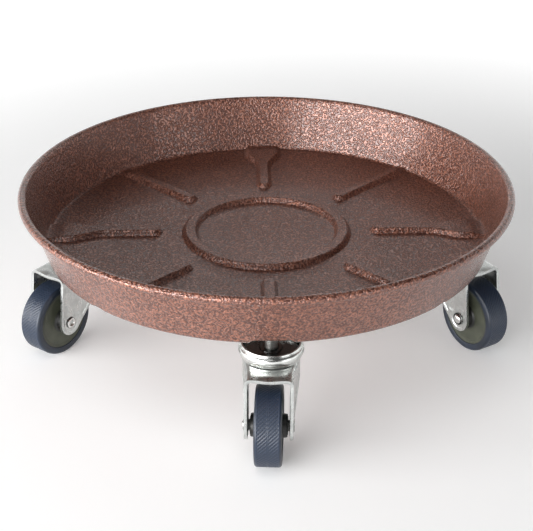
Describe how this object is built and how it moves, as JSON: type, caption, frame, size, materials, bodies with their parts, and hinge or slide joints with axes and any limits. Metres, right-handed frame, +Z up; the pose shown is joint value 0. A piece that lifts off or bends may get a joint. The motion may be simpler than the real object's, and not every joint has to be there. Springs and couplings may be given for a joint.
{
  "type": "plant pot caddy",
  "caption": "Round pressed metal dish with a rolled rim and raised beads, standing on swivel casters, to carry and roll a potted plant.",
  "frame": {"origin": "on the ground, on the vertical axis of the dish, under the centre of the pot", "axes": "+Z up along the dish axis; -Y towards the front caster, +Y towards the back caster; +X towards the right caster"},
  "size_m": [0.3316, 0.3612, 0.1163],
  "materials": {
    "dish_paint": "copper-bronze hammered enamel, semi-gloss",
    "zinc_bright": "bright zinc plate, satin",
    "zinc_dull": "zinc plate, dull",
    "ball_steel": "polished, greased",
    "dark_steel": "black oxide, satin",
    "core_plastic": "moulded, dark olive grey",
    "tyre_rubber": "slate blue rubber with a fine herringbone tread"
  },
  "bodies": {
    "carrier": {"dish": "dish_paint", "weld_nut_front": "zinc_dull", "stem_front": "zinc_dull", "race_cup_front": "zinc_bright", "lower_race_front": "zinc_dull", "weld_nut_right": "zinc_dull", "stem_right": "zinc_dull", "race_cup_right": "zinc_bright", "lower_race_right": "zinc_dull", "weld_nut_back": "zinc_dull", "stem_back": "zinc_dull", "race_cup_back": "zinc_bright", "lower_race_back": "zinc_dull", "weld_nut_left": "zinc_dull", "stem_left": "zinc_dull", "race_cup_left": "zinc_bright", "lower_race_left": "zinc_dull"},
    "swivel_front": {"race_balls_front": "ball_steel", "fork_front": "zinc_bright", "axle_rivet_front": "zinc_bright", "axle_sleeve_front": "dark_steel"},
    "wheel_front": {"wheel_core_front": "core_plastic", "tyre_front": "tyre_rubber", "hub_caps_front": "zinc_dull"},
    "swivel_right": {"race_balls_right": "ball_steel", "fork_right": "zinc_bright", "axle_rivet_right": "zinc_bright", "axle_sleeve_right": "dark_steel"},
    "wheel_right": {"wheel_core_right": "core_plastic", "tyre_right": "tyre_rubber", "hub_caps_right": "zinc_dull"},
    "swivel_back": {"race_balls_back": "ball_steel", "fork_back": "zinc_bright", "axle_rivet_back": "zinc_bright", "axle_sleeve_back": "dark_steel"},
    "wheel_back": {"wheel_core_back": "core_plastic", "tyre_back": "tyre_rubber", "hub_caps_back": "zinc_dull"},
    "swivel_left": {"race_balls_left": "ball_steel", "fork_left": "zinc_bright", "axle_rivet_left": "zinc_bright", "axle_sleeve_left": "dark_steel"},
    "wheel_left": {"wheel_core_left": "core_plastic", "tyre_left": "tyre_rubber", "hub_caps_left": "zinc_dull"}
  },
  "joints": [
    {"name": "swivel_front_turn", "type": "hinge", "parent": "carrier", "child": "swivel_front", "pos_m": [0, -0.1293, 0.0593], "axis": [0, 0, 1], "continuous": true},
    {"name": "wheel_front_roll", "type": "hinge", "parent": "swivel_front", "child": "wheel_front", "pos_m": [-0.00181, -0.15524, 0.025], "axis": [0.9976, -0.0698, 0], "continuous": true},
    {"name": "swivel_right_turn", "type": "hinge", "parent": "carrier", "child": "swivel_right", "pos_m": [0.1293, 0, 0.0593], "axis": [0, 0, 1], "continuous": true},
    {"name": "wheel_right_roll", "type": "hinge", "parent": "swivel_right", "child": "wheel_right", "pos_m": [0.14308, -0.02205, 0.025], "axis": [0.848, 0.5299, 0], "continuous": true},
    {"name": "swivel_back_turn", "type": "hinge", "parent": "carrier", "child": "swivel_back", "pos_m": [0, 0.1293, 0.0593], "axis": [0, 0, 1], "continuous": true},
    {"name": "wheel_back_roll", "type": "hinge", "parent": "swivel_back", "child": "wheel_back", "pos_m": [0.00181, 0.15524, 0.025], "axis": [-0.9976, 0.0698, 0], "continuous": true},
    {"name": "swivel_left_turn", "type": "hinge", "parent": "carrier", "child": "swivel_left", "pos_m": [-0.1293, 0, 0.0593], "axis": [0, 0, 1], "continuous": true},
    {"name": "wheel_left_roll", "type": "hinge", "parent": "swivel_left", "child": "wheel_left", "pos_m": [-0.14531, -0.02049, 0.025], "axis": [0.788, -0.6157, 0], "continuous": true}
  ]
}
